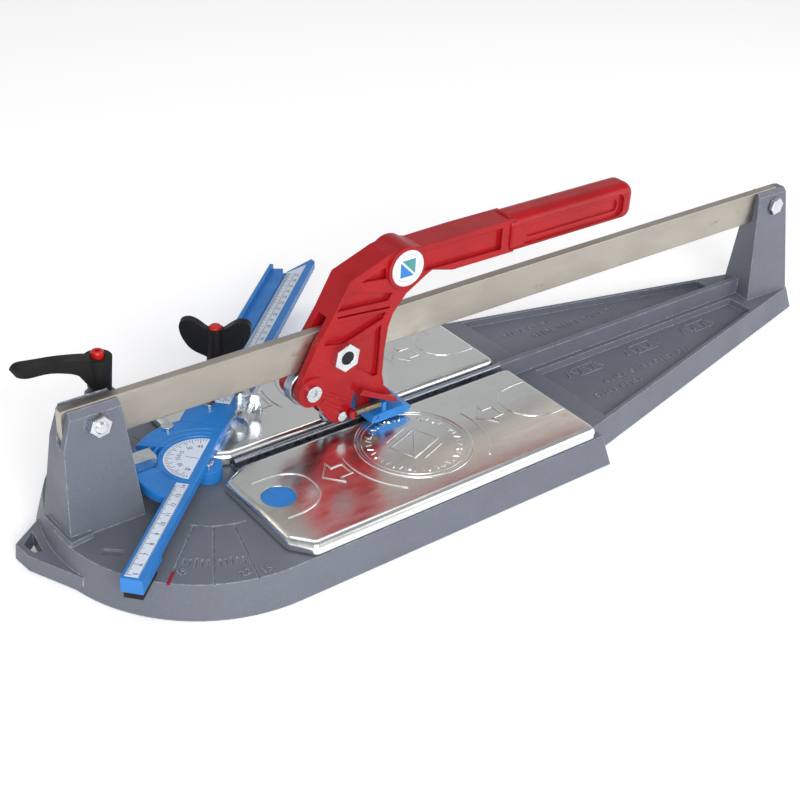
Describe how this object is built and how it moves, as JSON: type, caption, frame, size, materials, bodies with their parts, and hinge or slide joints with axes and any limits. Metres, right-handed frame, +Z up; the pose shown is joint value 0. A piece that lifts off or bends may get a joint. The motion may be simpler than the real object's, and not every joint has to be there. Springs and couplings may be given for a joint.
{
  "type": "manual tile cutter",
  "caption": "Hand tile cutter with a guide bar, sliding scoring handle, sprung plates and a swivelling protractor fence on a cast base.",
  "frame": {"origin": "on the underside of the cast base, below the guide bar's mid-plane", "axes": "+X along the guide bar from the rounded front to the pointed rear, +Y away from the side the scales face, +Z up"},
  "size_m": [0.7052, 0.3248, 0.1615],
  "materials": {
    "base_paint": "fine-textured blue-grey paint",
    "bar_nickel": "nickel plated, brushed along its length",
    "zinc_steel": "bright zinc plate",
    "rubber": "matt",
    "bright_sheet": "bright rolled sheet",
    "spring_steel": "plain",
    "bronze_spring": "dull bronze",
    "blue_plastic": "semi-gloss moulding",
    "scale_white": "printed scale strip",
    "red_enamel": "glossy red enamel",
    "black_plastic": "fine-grained moulding",
    "red_plastic": "gloss",
    "badge": "printed disc",
    "hard_steel": "ground",
    "slide_plastic": "natural nylon"
  },
  "bodies": {
    "base": {"base_casting": "base_paint", "rubber_feet": "rubber", "guide_bar": "bar_nickel", "front_bar_bolt": "zinc_steel", "front_bar_nut": "zinc_steel", "rear_bar_bolt": "zinc_steel", "rear_bar_nut": "zinc_steel", "breaker_rib": "hard_steel", "fence_pivot_pin": "zinc_steel", "clamp_shoe": "zinc_steel"},
    "near_plate": {"near_plate": "bright_sheet", "near_plate_cap": "blue_plastic", "near_plate_studs": "zinc_steel", "near_plate_nuts": "zinc_steel", "near_plate_springs": "spring_steel"},
    "far_plate": {"far_plate": "bright_sheet", "far_plate_cap": "blue_plastic", "far_plate_studs": "zinc_steel", "far_plate_nuts": "zinc_steel", "far_plate_springs": "spring_steel"},
    "fence": {"protractor_body": "blue_plastic", "far_rule": "blue_plastic", "near_scale": "scale_white", "far_scale": "scale_white", "angle_scale": "scale_white", "fence_pad": "rubber", "fence_screws": "zinc_steel", "stop_bracket": "zinc_steel", "stop_nut": "zinc_steel", "wing_knob_spacer": "zinc_steel"},
    "stop_thumbscrew": {"thumbscrew": "zinc_steel"},
    "wing_knob": {"wing_knob": "black_plastic", "wing_knob_cap": "red_plastic", "wing_knob_stud": "zinc_steel"},
    "clamp_lever": {"clamp_lever": "black_plastic", "lever_stud": "zinc_steel"},
    "lever_button": {"lever_button": "red_plastic"},
    "carriage": {"front_roller_axle": "zinc_steel"},
    "front_roller": {"front_roller": "hard_steel"},
    "handle": {"handle_casting": "red_enamel", "handle_grip": "red_enamel", "hub_badges": "badge", "upper_roller_axle": "zinc_steel", "guide_bushes": "zinc_steel", "guide_pads": "slide_plastic", "scoring_wheel_pin": "zinc_steel", "breaker_foot_pin": "zinc_steel"},
    "upper_roller": {"upper_roller": "hard_steel"},
    "scoring_wheel": {"scoring_wheel": "hard_steel"},
    "breaker_foot": {"breaker_foot": "blue_plastic", "breaker_foot_spring": "bronze_spring"}
  },
  "joints": [
    {"name": "near_plate_press", "type": "slide", "parent": "base", "child": "near_plate", "axis": [0, 0, 1], "range_m": [-0.0012, 0], "stiffness_N_per_m": 6000, "springref_m": 0.003, "deforming": ["near_plate_springs"]},
    {"name": "far_plate_press", "type": "slide", "parent": "base", "child": "far_plate", "axis": [0, 0, 1], "range_m": [-0.0012, 0], "stiffness_N_per_m": 6000, "springref_m": 0.003, "deforming": ["far_plate_springs"]},
    {"name": "fence_swivel", "type": "hinge", "parent": "base", "child": "fence", "pos_m": [-0.158, 0.003, 0.035], "axis": [0, 0, 1], "range_deg": [0, 47.5]},
    {"name": "thumbscrew_turn", "type": "hinge", "parent": "fence", "child": "stop_thumbscrew", "pos_m": [-0.12081, 0.02162, 0.044], "axis": [0.7373, 0.6756, 0], "continuous": true},
    {"name": "wing_knob_turn", "type": "hinge", "parent": "fence", "child": "wing_knob", "pos_m": [-0.1059, 0.07936, 0.06], "axis": [0, 0, 1], "continuous": true},
    {"name": "clamp_lever_swing", "type": "hinge", "parent": "base", "child": "clamp_lever", "pos_m": [-0.2224, 0.019, 0.11], "axis": [0, 0, 1], "range_deg": [-90, 90]},
    {"name": "lever_button_press", "type": "slide", "parent": "clamp_lever", "child": "lever_button", "axis": [0, 0, -1], "range_m": [0, 0.003], "stiffness_N_per_m": 300, "springref_m": -0.003},
    {"name": "carriage_slide", "type": "slide", "parent": "base", "child": "carriage", "axis": [1, 0, 0], "range_m": [-0.05, 0.36]},
    {"name": "front_roller_spin", "type": "hinge", "parent": "carriage", "child": "front_roller", "pos_m": [-0.0858, 0, 0.0727], "axis": [0, 1, 0], "range_deg": [-1600, 260]},
    {"name": "handle_swing", "type": "hinge", "parent": "carriage", "child": "handle", "pos_m": [-0.0858, 0, 0.0727], "axis": [0, 1, 0], "range_deg": [-22, 0]},
    {"name": "upper_roller_spin", "type": "hinge", "parent": "handle", "child": "upper_roller", "pos_m": [-0.04, 0, 0.1228], "axis": [0, 1, 0], "continuous": true},
    {"name": "scoring_wheel_spin", "type": "hinge", "parent": "handle", "child": "scoring_wheel", "pos_m": [-0.061, 0, 0.0456], "axis": [0, 1, 0], "continuous": true},
    {"name": "breaker_foot_rock", "type": "hinge", "parent": "handle", "child": "breaker_foot", "pos_m": [-0.035, 0, 0.0386], "axis": [0, 1, 0], "range_deg": [-3.5, 2.5], "stiffness_Nm_per_rad": 2}
  ],
  "couplings": [
    {"joint": "front_roller_spin", "follows": "carriage_slide", "rad_per_m": -76.923}
  ]
}
